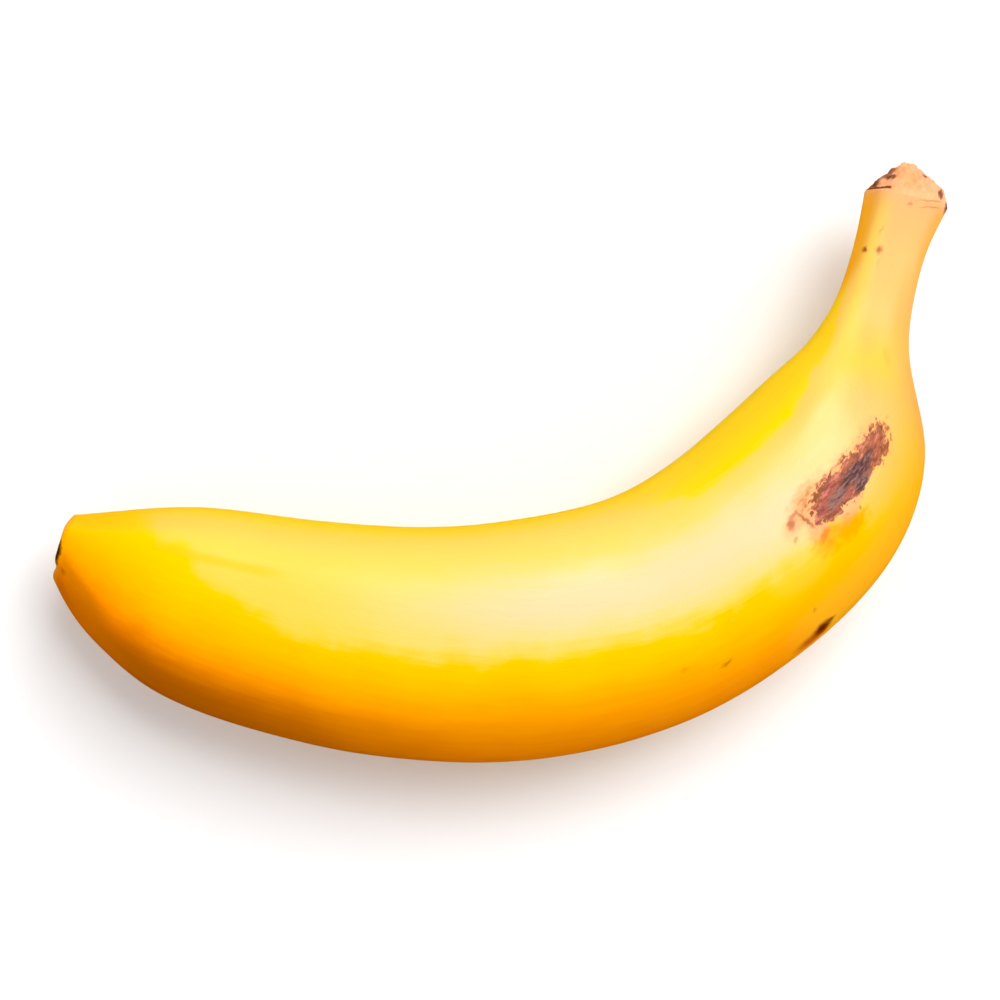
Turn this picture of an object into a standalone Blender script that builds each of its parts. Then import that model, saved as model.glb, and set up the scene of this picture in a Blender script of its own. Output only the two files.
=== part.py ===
"""A ripe banana, lying on its side as picked.

The fruit grew as one piece, so it is one solid. It is a loft: each cross-section is a rounded six-sided
outline, set between a point on the inner edge of the bend and a point on the outer edge. The stem ends in
a torn stump, and the other end in a small scar where the flower was.

The bend lies in the XY plane, with the flower end to the left, the stem to the upper right and +Z up.
"""

import math

import bmesh
import bpy
import numpy as np

NAME = "banana"
MM = 0.001

# Cross-sections from the flower end to the stem's rim, in millimetres. Each row has the point on the inner
# edge (x, y), the point on the outer edge (x, y) and the height of the line through both.
SECTIONS = (
    (-68.4, -8.3, -71.6, -18.9, 14.0),
    (-65.5, -8.1, -69.0, -23.7, 14.1),
    (-60.0, -7.6, -63.5, -30.1, 14.4),
    (-51.0, -7.0, -56.0, -36.1, 15.0),
    (-37.5, -8.2, -41.5, -42.0, 15.6),
    (-24.0, -9.7, -27.0, -45.6, 16.4),
    (-8.0, -10.1, -8.5, -47.7, 17.0),
    (7.5, -8.2, 10.0, -46.7, 17.4),
    (20.0, -4.6, 27.9, -42.0, 17.4),
    (30.6, 2.3, 43.4, -33.7, 17.4),
    (39.1, 9.9, 55.8, -23.7, 17.2),
    (45.6, 15.8, 64.3, -12.3, 16.9),
    (50.0, 20.0, 68.0, 3.0, 16.5),
    (53.0, 24.5, 65.7, 16.2, 16.3),
    (55.4, 29.9, 66.6, 27.1, 16.2),
    (57.0, 35.4, 68.2, 33.1, 16.3),
    (58.6, 43.5, 71.7, 40.6, 16.5),
)

# The torn stump on the stem's rim: how far each of its rings reaches to the inner side, to the outer side
# and sideways, as shares of the rim's own reach, and how far it stands above the rim in millimetres.
STUMP = (
    (0.97, 0.99, 0.995, 0.35),
    (0.89, 0.93, 0.965, 1.2),
    (0.74, 0.82, 0.90, 2.5),
    (0.58, 0.62, 0.79, 3.4),
    (0.47, 0.40, 0.62, 4.3),
    (0.36, 0.16, 0.42, 5.0),
    (0.24, 0.00, 0.20, 5.3),
)
STUMP_TOP = (0.12, 5.4)     # place of its top towards the inner side, and its height

# Waves that roughen the stump's torn tissue: length in millimetres, direction and phase in degrees.
TEAR_WAVES = (
    (3.6, 15.0, 40.0),
    (3.1, 75.0, 200.0),
    (5.2, 130.0, 310.0),
)
TEAR_HEIGHT = 0.9           # height of the waves at the top of the stump

WIDTH_TO_DEPTH = 0.90       # the fruit is a little narrower across the bend than in it
FLAT_DIP = 0.3              # how far the underside is flattened by lying on a surface

# The six faces of the peel: which way each one looks, in degrees from the inner side over the top.
FACE_DIRECTIONS = (19.0, 91.0, 151.0, 207.0, 265.0, 325.0)

# How sharp the ridges between the faces are, at distances in millimetres from the flower end.
RIDGE_PLACES = (0.0, 20.0, 60.0, 125.0, 152.0, 180.0)
RIDGE_SHARPNESS = (9.0, 7.5, 5.8, 5.8, 6.5, 8.0)

# The flower end's face: how far in from the rim, as a share of the way to the scar's middle, and how far out
# of the rim's plane in millimetres. It has a rounded lip, a shallow moat and the dry stub of the flower.
END_FACE = (
    (0.06, 0.20),
    (0.14, 0.20),
    (0.24, -0.10),
    (0.36, -0.50),
    (0.46, -0.30),
    (0.54, 0.45),
    (0.68, 0.95),
    (0.84, 0.80),
)
END_FACE_MIDDLE = 0.55      # how far out the stub's dimple is
SCAR_PLACE = 0.60           # the scar's middle, as a share of the way from the inner to the outer edge
SCAR_UNEVENNESS = 0.18      # how much the scar's outline strays from a round one, as a share

RINGS = 84                  # cross-sections of the smooth fruit
SECTORS = 40                # points on each
END_CROWDING = 0.5          # 0 spaces the cross-sections evenly, 1 crowds them fully at both ends

PEEL_COLOUR = (1.0, 0.66, 0.03, 1.0)
PEEL_ROUGHNESS = 0.42


def spline(knots, rows, at):
    """Values at the given places of the natural cubic spline through the rows."""
    count = len(knots)
    step = np.diff(knots)
    system = np.eye(count)
    right = np.zeros((count, rows.shape[1]))
    slope = np.diff(rows, axis=0) / step[:, None]
    for i in range(1, count - 1):
        system[i, i - 1:i + 2] = step[i - 1], 2 * (step[i - 1] + step[i]), step[i]
        right[i] = 6 * (slope[i] - slope[i - 1])
    bend = np.linalg.solve(system, right)
    left = np.clip(np.searchsorted(knots, at) - 1, 0, count - 2)
    span = step[left][:, None]
    along = (at - knots[left])[:, None]
    first = slope[left] - span * (2 * bend[left] + bend[left + 1]) / 6
    third = (bend[left + 1] - bend[left]) / (6 * span)
    return rows[left] + along * first + along ** 2 * bend[left] / 2 + along ** 3 * third


def outline(sharpness, count):
    """Points of the six-sided outline, as pairs from -1 to 1: towards the inner side, and upwards."""
    angle = np.linspace(0, 2 * math.pi, count, endpoint=False)
    facing = np.cos(angle[:, None] - np.radians(FACE_DIRECTIONS))
    radius = np.sum(np.maximum(facing, 0) ** sharpness, axis=1) ** (-1 / sharpness)
    points = np.stack([radius * np.cos(angle), radius * np.sin(angle)], axis=1)
    low = points.min(axis=0)
    high = points.max(axis=0)
    return (2 * points - low - high) / (high - low)


def ring(inner, outer, height, sideways, sharpness):
    """Points of one cross-section, in millimetres: its two edge points, its height and its half width."""
    shape = outline(sharpness, SECTORS)
    level = (inner + outer) / 2 + shape[:, :1] * (inner - outer) / 2
    rise = height + shape[:, 1:] * sideways
    return np.hstack([level, rise])


def half_width(inner, outer):
    """Half of a cross-section's extent across the bend."""
    return WIDTH_TO_DEPTH * np.linalg.norm(inner - outer) / 2


def fruit_rings():
    """Cross-sections of the fruit and its neck, from the flower end to the stem's rim."""
    rows = np.array(SECTIONS)
    middles = (rows[:, 0:2] + rows[:, 2:4]) / 2
    knots = np.concatenate([[0], np.cumsum(np.linalg.norm(np.diff(middles, axis=0), axis=1))])
    even = np.linspace(0, 1, RINGS)
    crowded = (1 - np.cos(math.pi * even)) / 2
    at = knots[-1] * (even + END_CROWDING * (crowded - even))
    sharpness = np.interp(at, RIDGE_PLACES, RIDGE_SHARPNESS)
    return [
        ring(row[0:2], row[2:4], row[4], half_width(row[0:2], row[2:4]), sharp)
        for row, sharp in zip(spline(knots, rows, at), sharpness)
    ]


def end_frame(section):
    """Inner edge, outer edge and height of an end section, and the unit vector square to it in the bend."""
    inner = np.array(section[0:2])
    outer = np.array(section[2:4])
    across = (outer - inner) / np.linalg.norm(outer - inner)
    return inner, outer, section[4], np.array([across[1], -across[0]])


def end_face_rings(rim):
    """Rings of the flower end's face, from the six-sided rim to the round scar, and its middle point."""
    inner, outer, height, out = end_frame(SECTIONS[0])
    centre = np.append(inner + SCAR_PLACE * (outer - inner), height)
    out = np.append(out, 0)
    spokes = rim - centre
    lengths = np.linalg.norm(spokes, axis=1)
    angle = np.linspace(0, 2 * math.pi, SECTORS, endpoint=False)
    stray = 1 + SCAR_UNEVENNESS * (np.sin(2 * angle + 1) + np.sin(3 * angle)) / 2
    rounding = stray * lengths.mean() / lengths
    rings = []
    for inset, depth in END_FACE:
        share = (1 - inset) * (1 + inset * (rounding - 1))
        rings.append(centre + share[:, None] * spokes + depth * out)
    return rings, centre + END_FACE_MIDDLE * out


def torn(points, middle, share):
    """How far the tear lifts the given points of the stump, by their place across the rim."""
    across = np.linalg.norm(points[:, 0:2] - middle[0:2], axis=1) * np.sign(points[:, 0] - middle[0])
    above = points[:, 2] - middle[2]
    lift = np.zeros(len(points))
    for length, direction, phase in TEAR_WAVES:
        way = across * math.cos(math.radians(direction)) + above * math.sin(math.radians(direction))
        lift += np.sin(2 * math.pi * way / length + math.radians(phase))
    return TEAR_HEIGHT * share * lift[:, None] / len(TEAR_WAVES)


def stump_rings():
    """Rings of the torn stump, from the stem's rim upwards, and its top point."""
    inner, outer, height, down = end_frame(SECTIONS[-1])
    up = np.append(-down, 0)
    middle = np.append((inner + outer) / 2, height)
    reach = np.append((inner - outer) / 2, 0)
    rings = []
    for to_inner, to_outer, sideways, above in STUMP:
        base = middle + above * up
        edges = [(base + to_inner * reach)[0:2], (base - to_outer * reach)[0:2]]
        points = ring(*edges, height, sideways * half_width(inner, outer), RIDGE_SHARPNESS[-1])
        rings.append(points + torn(points, base, above / STUMP_TOP[1]) * up)
    place, above = STUMP_TOP
    top = middle + place * reach + above * up
    return rings, top + torn(top[None, :], middle + above * up, 1)[0] * up


def loft(rings, first_point, last_point):
    """A closed mesh over a list of rings, with a fan of faces to a point at both ends."""
    mesh = bmesh.new()
    loops = [[mesh.verts.new(point) for point in points] for points in rings]
    start = mesh.verts.new(first_point)
    end = mesh.verts.new(last_point)
    for lower, upper in zip(loops, loops[1:]):
        for i in range(SECTORS):
            j = (i + 1) % SECTORS
            mesh.faces.new((lower[i], lower[j], upper[j], upper[i]))
    for i in range(SECTORS):
        j = (i + 1) % SECTORS
        mesh.faces.new((start, loops[0][j], loops[0][i]))
        mesh.faces.new((end, loops[-1][i], loops[-1][j]))
    bmesh.ops.recalc_face_normals(mesh, faces=mesh.faces)
    return mesh


def centred(rings, points):
    """The same rings and points in metres, over the origin, with the underside pressed flat at Z = 0."""
    every = np.concatenate(rings)
    middle = (every.min(axis=0) + every.max(axis=0)) / 2
    shift = np.array([middle[0], middle[1], FLAT_DIP])

    def place(array):
        moved = array - shift
        moved[..., 2] = np.maximum(moved[..., 2], 0)
        return moved * MM

    return [place(points) for points in rings], [place(point) for point in points]


def peel_material():
    """Waxy yellow peel."""
    material = bpy.data.materials.new("peel")
    material.use_nodes = True
    shader = material.node_tree.nodes["Principled BSDF"]
    shader.inputs["Base Color"].default_value = PEEL_COLOUR
    shader.inputs["Roughness"].default_value = PEEL_ROUGHNESS
    shader.inputs["Metallic"].default_value = 0.0
    material.diffuse_color = PEEL_COLOUR
    return material


def make_banana(collection):
    """The whole fruit as one object."""
    fruit = fruit_rings()
    face, face_middle = end_face_rings(fruit[0])
    stump, stump_top = stump_rings()
    rings = face[::-1] + fruit + stump
    rings, (first_point, last_point) = centred(rings, (face_middle, stump_top))
    built = loft(rings, first_point, last_point)
    mesh = bpy.data.meshes.new(NAME)
    built.to_mesh(mesh)
    built.free()
    mesh.materials.append(peel_material())
    mesh.shade_smooth()
    mesh.set_sharp_from_angle(angle=math.radians(50))
    collection.objects.link(bpy.data.objects.new(NAME, mesh))


def main():
    for item in list(bpy.data.objects):
        bpy.data.objects.remove(item, do_unlink=True)
    collection = bpy.data.collections.new(NAME)
    bpy.context.scene.collection.children.link(collection)
    make_banana(collection)


main()
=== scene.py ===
"""The banana's looks: its fine surface, its peel and marks, the stage, the light and the camera."""

import math

import bpy
import numpy as np
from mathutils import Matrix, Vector, noise


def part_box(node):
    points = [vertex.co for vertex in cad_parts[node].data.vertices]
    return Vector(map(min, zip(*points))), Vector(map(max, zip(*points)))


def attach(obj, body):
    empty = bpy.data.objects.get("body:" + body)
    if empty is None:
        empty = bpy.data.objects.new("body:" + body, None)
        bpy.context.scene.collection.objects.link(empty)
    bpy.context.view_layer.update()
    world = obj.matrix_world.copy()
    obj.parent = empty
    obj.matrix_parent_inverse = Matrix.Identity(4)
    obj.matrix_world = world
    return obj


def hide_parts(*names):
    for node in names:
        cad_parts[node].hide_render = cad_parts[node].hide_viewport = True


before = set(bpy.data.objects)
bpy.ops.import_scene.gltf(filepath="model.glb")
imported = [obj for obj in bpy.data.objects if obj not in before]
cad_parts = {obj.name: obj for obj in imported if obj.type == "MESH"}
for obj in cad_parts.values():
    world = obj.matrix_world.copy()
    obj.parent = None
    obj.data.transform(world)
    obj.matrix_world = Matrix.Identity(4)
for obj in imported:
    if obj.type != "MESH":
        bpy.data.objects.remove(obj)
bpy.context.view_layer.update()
cad_low, cad_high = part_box("banana")

MM = 0.001

# Cross-sections from the flower end to the stem's rim, in millimetres, as in the part's source: the point on
# the inner edge (x, y), the point on the outer edge (x, y) and the height of the line through both.
SECTIONS = (
    (-68.4, -8.3, -71.6, -18.9, 14.0),
    (-65.5, -8.1, -69.0, -23.7, 14.1),
    (-60.0, -7.6, -63.5, -30.1, 14.4),
    (-51.0, -7.0, -56.0, -36.1, 15.0),
    (-37.5, -8.2, -41.5, -42.0, 15.6),
    (-24.0, -9.7, -27.0, -45.6, 16.4),
    (-8.0, -10.1, -8.5, -47.7, 17.0),
    (7.5, -8.2, 10.0, -46.7, 17.4),
    (20.0, -4.6, 27.9, -42.0, 17.4),
    (30.6, 2.3, 43.4, -33.7, 17.4),
    (39.1, 9.9, 55.8, -23.7, 17.2),
    (45.6, 15.8, 64.3, -12.3, 16.9),
    (50.0, 20.0, 68.0, 3.0, 16.5),
    (53.0, 24.5, 65.7, 16.2, 16.3),
    (55.4, 29.9, 66.6, 27.1, 16.2),
    (57.0, 35.4, 68.2, 33.1, 16.3),
    (58.6, 43.5, 71.7, 40.6, 16.5),
)

# The torn stump on the stem's rim: how far it reaches to the inner side, to the outer side and sideways, as
# shares of the rim's own reach, and how far it stands above the rim in millimetres.
STUMP = (
    (1.00, 1.00, 1.00, 0.0),
    (0.97, 0.99, 0.995, 0.35),
    (0.89, 0.93, 0.965, 1.2),
    (0.74, 0.82, 0.90, 2.5),
    (0.58, 0.62, 0.79, 3.4),
    (0.47, 0.40, 0.62, 4.3),
    (0.36, 0.16, 0.42, 5.0),
    (0.24, 0.00, 0.20, 5.3),
    (0.13, -0.11, 0.01, 5.4),
)

# The flower end's face: how far in from the rim, as a share of the way to the scar's middle, and how far out
# of the rim's plane in millimetres.
END_FACE = (
    (0.00, 0.00),
    (0.06, 0.20),
    (0.14, 0.20),
    (0.24, -0.10),
    (0.36, -0.50),
    (0.46, -0.40),
    (0.54, 0.15),
    (0.68, 0.55),
    (0.84, 0.45),
    (0.99, 0.25),
)
# How far out from the inner edge the scar's middle lies, as a share of the depth, and how uneven it is.
SCAR_PLACE = 0.51
SCAR_UNEVENNESS = 0.18
# A dip in the flower end's rim, in millimetres: how far inwards it lies, half its width, its depth, and how
# far it runs along the fruit.
RIM_DIP_PLACE = -3.1
RIM_DIP_WIDTH = 0.9
RIM_DIP_DEPTH = 0.45
RIM_DIP_LENGTH = 2.0

# How wide the fruit is across the bend, as a share of its depth, and how many millimetres of its underside
# are flattened.
WIDTH_TO_DEPTH = 0.90
FLAT_DIP = 0.3
# The six-sided outline: which way its faces look, in degrees from the inner side, and how sharp its ridges
# are by distance along the fruit.
FACE_DIRECTIONS = (19.0, 91.0, 151.0, 207.0, 265.0, 325.0)
RIDGE_PLACES = (0.0, 20.0, 60.0, 125.0, 152.0, 180.0)
RIDGE_SHARPNESS = (9.0, 7.5, 5.8, 5.8, 6.5, 8.0)

# The fine relief of the peel, the torn tissue and the scar: the size of its patches and its height, both in
# millimetres.
PEEL_WAVES = (13.0, 0.10)
PEEL_FIBRES = (2.2, 0.03)
TORN_FIBRES = (2.6, 0.45)
TORN_CRUMBS = (0.8, 0.36)
SCAR_CRUMBS = (0.8, 0.12)
# How much the fibres are drawn out along the fruit.
PEEL_FIBRE_SHAPE = (0.3, 1, 1)
TORN_FIBRE_SHAPE = (0.35, 1, 1)
# How far the crumbs' noise is shifted, in millimetres, so that it has a pattern of its own.
TORN_CRUMBS_SHIFT = 40
SCAR_CRUMBS_SHIFT = 90
# Where it is in full: millimetres above the stem's rim, and share of the way to the scar's middle.
TORN_IN_FULL = 1.5
SCAR_IN_FULL = 0.2

# How finely the surface is divided.
SECTORS = 216
FRUIT_RINGS = 380
STUMP_RINGS = 27
FACE_RINGS = 18


def spline(knots, rows, at):
    """Values at the given places of the natural cubic spline through the rows."""
    count = len(knots)
    step = np.diff(knots)
    system = np.eye(count)
    right = np.zeros((count, rows.shape[1]))
    slope = np.diff(rows, axis=0) / step[:, None]
    for i in range(1, count - 1):
        system[i, i - 1:i + 2] = step[i - 1], 2 * (step[i - 1] + step[i]), step[i]
        right[i] = 6 * (slope[i] - slope[i - 1])
    bend = np.linalg.solve(system, right)
    left = np.clip(np.searchsorted(knots, at) - 1, 0, count - 2)
    span = step[left][:, None]
    along = (at - knots[left])[:, None]
    first = slope[left] - span * (2 * bend[left] + bend[left + 1]) / 6
    third = (bend[left + 1] - bend[left]) / (6 * span)
    return rows[left] + along * first + along ** 2 * bend[left] / 2 + along ** 3 * third


def steps(rows, count):
    """Values of a table's rows at even steps from its first row to its last, joined by straight lines."""
    rows = np.array(rows)
    at = np.linspace(0, len(rows) - 1, count)
    return np.stack([np.interp(at, np.arange(len(rows)), column) for column in rows.T], axis=1)


def outline(sharpness):
    """Points of the six-sided outline, as pairs from -1 to 1: towards the inner side, and upwards."""
    angle = np.linspace(0, 2 * math.pi, SECTORS, endpoint=False)
    facing = np.cos(angle[:, None] - np.radians(FACE_DIRECTIONS))
    radius = np.sum(np.maximum(facing, 0) ** sharpness, axis=1) ** (-1 / sharpness)
    points = np.stack([radius * np.cos(angle), radius * np.sin(angle)], axis=1)
    low = points.min(axis=0)
    high = points.max(axis=0)
    return (2 * points - low - high) / (high - low)


class Surface:
    """The fruit's surface as rings of points, each with its place on the straightened fruit."""

    def __init__(self):
        self.points = []    # place in the bent fruit
        self.straight = []  # distance along the fruit, towards the inner side, upwards
        self.across = []    # 0 at the inner edge, 1 at the outer edge
        self.stump = []     # height above the stem's rim
        self.face = []      # share of the way from the flower end's rim to the scar's middle

    def add(self, points, straight, across, stump=0.0, face=0.0):
        """Adds one ring, with what is known of its points."""
        self.points.append(points)
        self.straight.append(straight)
        self.across.append(across)
        self.stump.append(np.full(SECTORS, stump))
        self.face.append(np.full(SECTORS, face))

    def add_ring(self, along, inner, outer, height, sideways, sharpness, stump=0.0):
        """Adds a ring of the six-sided outline between an inner and an outer point."""
        shape = outline(sharpness)
        half = np.linalg.norm(inner - outer) / 2
        level = (inner + outer) / 2 + shape[:, :1] * (inner - outer) / 2
        points = np.hstack([level, height + shape[:, 1:] * sideways])
        straight = np.stack([np.full(SECTORS, along), shape[:, 0] * half, shape[:, 1] * sideways], axis=1)
        self.add(points, straight, (1 - shape[:, 0]) / 2, stump=stump)


def end_frame(section):
    """Inner edge, outer edge and height of an end section, and the unit vector square to it in the bend."""
    inner = np.array(section[0:2])
    outer = np.array(section[2:4])
    across = (outer - inner) / np.linalg.norm(outer - inner)
    return inner, outer, section[4], np.array([across[1], -across[0]])


def section_places():
    """Distances along the middle line at which the sections lie."""
    rows = np.array(SECTIONS)
    middles = (rows[:, 0:2] + rows[:, 2:4]) / 2
    return np.concatenate([[0], np.cumsum(np.linalg.norm(np.diff(middles, axis=0), axis=1))])


def add_fruit(surface):
    """The smooth fruit, from the flower end's rim to the stem's rim."""
    knots = section_places()
    at = np.linspace(0, knots[-1], FRUIT_RINGS)
    sharpness = np.interp(at, RIDGE_PLACES, RIDGE_SHARPNESS)
    for along, row, sharp in zip(at, spline(knots, np.array(SECTIONS), at), sharpness):
        inner = row[0:2]
        outer = row[2:4]
        sideways = WIDTH_TO_DEPTH * np.linalg.norm(inner - outer) / 2
        surface.add_ring(along, inner, outer, row[4], sideways, sharp)


def add_end_face(surface):
    """The flower end's face, from the rim inwards, put before the fruit."""
    inner, outer, height, out = end_frame(SECTIONS[0])
    centre = np.append(inner + SCAR_PLACE * (outer - inner), height)
    out = np.append(out, 0)
    spokes = surface.points[0] - centre
    lengths = np.linalg.norm(spokes, axis=1)
    angle = np.linspace(0, 2 * math.pi, SECTORS, endpoint=False)
    stray = 1 + SCAR_UNEVENNESS * (np.sin(2 * angle + 1) + np.sin(3 * angle)) / 2
    rounding = stray * lengths.mean() / lengths
    middle = np.array([0, (1 - 2 * SCAR_PLACE) * np.linalg.norm(inner - outer) / 2, 0])
    straight_spokes = surface.straight[0] - middle
    face = Surface()
    for inset, depth in steps(END_FACE, FACE_RINGS + 1)[:0:-1]:
        share = ((1 - inset) * (1 + inset * (rounding - 1)))[:, None]
        straight = middle + share * straight_spokes - np.array([depth, 0, 0])
        across = surface.across[0] * (1 - inset) + SCAR_PLACE * inset
        face.add(centre + share * spokes + depth * out, straight, across, face=inset)
    for name, rings in vars(face).items():
        setattr(surface, name, rings + getattr(surface, name))


def add_stump(surface):
    """The torn stump, from the stem's rim upwards."""
    inner, outer, height, down = end_frame(SECTIONS[-1])
    middle = (inner + outer) / 2
    reach = (inner - outer) / 2
    half = np.linalg.norm(reach)
    length = section_places()[-1]
    for to_inner, to_outer, sideways, above in steps(STUMP, STUMP_RINGS + 1)[1:]:
        base = middle - above * down
        width = sideways * WIDTH_TO_DEPTH * half
        surface.add_ring(
            length + above, base + to_inner * reach, base - to_outer * reach, height, width,
            RIDGE_SHARPNESS[-1], stump=above,
        )


def normals(points):
    """Outward unit normals of the rings of points."""
    along = np.gradient(points, axis=0)
    around = np.roll(points, -1, axis=1) - np.roll(points, 1, axis=1)
    square = np.cross(around, along)
    return square / np.maximum(np.linalg.norm(square, axis=2, keepdims=True), 1e-9)


def noise_at(places, size, height, octaves=1):
    """Smooth noise at the given places, in patches of about the given size and up to the given height."""
    flat = places.reshape(-1, 3) / size
    if octaves == 1:
        values = [noise.noise(Vector(place)) for place in flat]
    else:
        values = [noise.fractal(Vector(place), 1.0, 2.0, octaves) for place in flat]
    return height * np.array(values).reshape(places.shape[:-1])


def relief(surface):
    """Height of the fine relief at each point, in millimetres."""
    straight = np.array(surface.straight)
    peel = noise_at(straight, *PEEL_WAVES) + noise_at(straight * PEEL_FIBRE_SHAPE, *PEEL_FIBRES)
    fibres = noise_at(straight * TORN_FIBRE_SHAPE, *TORN_FIBRES, octaves=3)
    crumbs = noise_at(straight + TORN_CRUMBS_SHIFT, *TORN_CRUMBS, octaves=2)
    torn = np.clip(np.array(surface.stump) / TORN_IN_FULL, 0, 1) * (fibres + crumbs)
    crust = noise_at(straight + SCAR_CRUMBS_SHIFT, *SCAR_CRUMBS, octaves=2)
    scar = np.clip(np.array(surface.face) / SCAR_IN_FULL, 0, 1) * crust
    dip = RIM_DIP_DEPTH * np.exp(-((straight[:, :, 1] - RIM_DIP_PLACE) / RIM_DIP_WIDTH) ** 2)
    at_rim = np.clip(1 - straight[:, :, 0] / RIM_DIP_LENGTH, 0, 1)
    return peel + torn + scar - dip * at_rim


def banana_mesh():
    """The fine mesh, in metres, and where the middle of its box lies in the coordinates of SECTIONS."""
    surface = Surface()
    add_fruit(surface)
    add_end_face(surface)
    add_stump(surface)
    points = np.array(surface.points)
    points = points + relief(surface)[:, :, None] * normals(points)
    middle = (points.min(axis=(0, 1)) + points.max(axis=(0, 1))) / 2
    middle[2] = FLAT_DIP
    points -= middle
    points[:, :, 2] = np.maximum(points[:, :, 2], 0)
    points *= MM
    points[:, :, 0:2] += (np.array(cad_low[0:2]) + np.array(cad_high[0:2])) / 2

    count = len(points)
    index = np.arange(count * SECTORS).reshape(count, SECTORS)
    turned = np.roll(index, -1, axis=1)
    quads = np.stack([index[:-1], turned[:-1], turned[1:], index[1:]], axis=2).reshape(-1, 4)
    faces = quads.tolist()
    faces.append(index[0, ::-1].tolist())
    faces.append(index[-1].tolist())
    mesh = bpy.data.meshes.new("banana_peel")
    mesh.from_pydata(points.reshape(-1, 3).tolist(), [], faces)
    straight = mesh.attributes.new("straight", "FLOAT_VECTOR", "POINT")
    straight.data.foreach_set("vector", np.array(surface.straight).reshape(-1))
    for name in ("across", "stump", "face"):
        values = mesh.attributes.new(name, "FLOAT", "POINT")
        values.data.foreach_set("value", np.array(getattr(surface, name)).reshape(-1))
    mesh.shade_smooth()
    return mesh, middle


# How far noise round 0.5 mostly strays to either side.
NOISE_SPREAD = 0.25


class Nodes:
    """Short calls for the nodes of one material."""

    def __init__(self, name):
        self.material = bpy.data.materials.new(name)
        self.material.use_nodes = True
        self.tree = self.material.node_tree
        self.shader = self.tree.nodes["Principled BSDF"]

    def new(self, kind, inputs=(), **settings):
        """A node with the given settings, and with values or links for some of its inputs."""
        node = self.tree.nodes.new(kind)
        for name, value in settings.items():
            setattr(node, name, value)
        for key, value in dict(inputs).items():
            self.put(node.inputs[key], value)
        return node

    def put(self, socket, value):
        """Links an input to another node's output, or sets its value."""
        if isinstance(value, bpy.types.NodeSocket):
            self.tree.links.new(value, socket)
        elif isinstance(value, tuple) and len(value) == 3 and socket.type == "RGBA":
            socket.default_value = (*value, 1)
        else:
            socket.default_value = value

    def attribute(self, name, output="Fac"):
        """A value that the mesh keeps for each point."""
        return self.new("ShaderNodeAttribute", attribute_name=name).outputs[output]

    def math(self, operation, *values):
        """The result of an operation on plain numbers."""
        return self.new("ShaderNodeMath", dict(enumerate(values)), operation=operation).outputs[0]

    def plus(self, *values):
        """The sum of the values."""
        result = values[0]
        for value in values[1:]:
            result = self.math("ADD", result, value)
        return result

    def minus(self, first, second):
        """The first value less the second."""
        return self.math("SUBTRACT", first, second)

    def times(self, *values):
        """The product of the values."""
        result = values[0]
        for value in values[1:]:
            result = self.math("MULTIPLY", result, value)
        return result

    def apart(self, first, second):
        """How far apart two values are."""
        return self.math("ABSOLUTE", self.minus(first, second))

    def swing(self, noise, amount):
        """Noise round 0.5 made into noise round 0, whose whole range is the amount."""
        return self.math("MULTIPLY_ADD", noise, amount, -amount / 2)

    def smooth(self, value, start, end, amount=1.0):
        """0 at the start and before it, the amount at the end and past it; start may lie above end."""
        low, high = (0.0, amount) if start < end else (amount, 0.0)
        inputs = {"Value": value, "From Min": min(start, end), "From Max": max(start, end)}
        inputs.update({"To Min": low, "To Max": high})
        return self.new("ShaderNodeMapRange", inputs, interpolation_type="SMOOTHSTEP").outputs["Result"]

    def mix(self, share, first, second, blend="MIX"):
        """The first colour, turned into the second by the given share."""
        inputs = {0: share, 6: first, 7: second}
        return self.new("ShaderNodeMix", inputs, data_type="RGBA", blend_type=blend).outputs[2]

    def blend(self, share, first, second):
        """The same as mix for plain numbers."""
        inputs = {0: share, 2: first, 3: second}
        return self.new("ShaderNodeMix", inputs, data_type="FLOAT").outputs[0]

    def ramp(self, value, stops):
        """Colours by value, through stops (place, colour) with places rising from 0 to 1."""
        node = self.new("ShaderNodeValToRGB", {"Fac": value})
        elements = node.color_ramp.elements
        while len(elements) < len(stops):
            elements.new(1.0)
        for element, (place, colour) in zip(elements, stops):
            element.position = place
            element.color = (*colour, 1)
        return node.outputs["Color"]

    def wide_ramp(self, value, stops):
        """The same for places of any size, still rising."""
        start = stops[0][0]
        end = stops[-1][0]
        inputs = {"Value": value, "From Min": start, "From Max": end}
        share = self.new("ShaderNodeMapRange", inputs).outputs["Result"]
        return self.ramp(share, [((place - start) / (end - start), colour) for place, colour in stops])

    def profile(self, value, points):
        """Straight lines through points (place, amount), with places rising; amounts may be any numbers."""
        amounts = [amount for place, amount in points]
        low = min(amounts)
        rise = max(amounts) - low
        stops = [(place, ((amount - low) / rise,) * 3) for place, amount in points]
        return self.math("MULTIPLY_ADD", self.wide_ramp(value, stops), rise, low)

    def vector(self, operation, *values):
        """The outputs of an operation on vectors."""
        return self.new("ShaderNodeVectorMath", dict(enumerate(values)), operation=operation).outputs

    def turned(self, vector, degrees, centre=(0, 0, 0)):
        """The vector turned about the upward axis through the centre."""
        inputs = {"Vector": vector, "Center": centre, "Angle": math.radians(degrees)}
        return self.new("ShaderNodeVectorRotate", inputs, rotation_type="Z_AXIS").outputs[0]

    def noise(self, vector, size, detail=2.0, roughness=0.5, output="Fac"):
        """Noise round 0.5 whose patches have about the given size in millimetres."""
        inputs = {"Vector": vector, "Scale": 1 / size, "Detail": detail, "Roughness": roughness}
        return self.new("ShaderNodeTexNoise", inputs).outputs[output]

    def grain(self, vector, shape, size, detail, roughness, turn=0.0):
        """Noise drawn out along the fruit: the shape is how much of its scale is left that way."""
        if turn:
            vector = self.turned(vector, turn)
        return self.noise(self.vector("MULTIPLY", vector, (shape, 1, 1))[0], size, detail, roughness)

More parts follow.
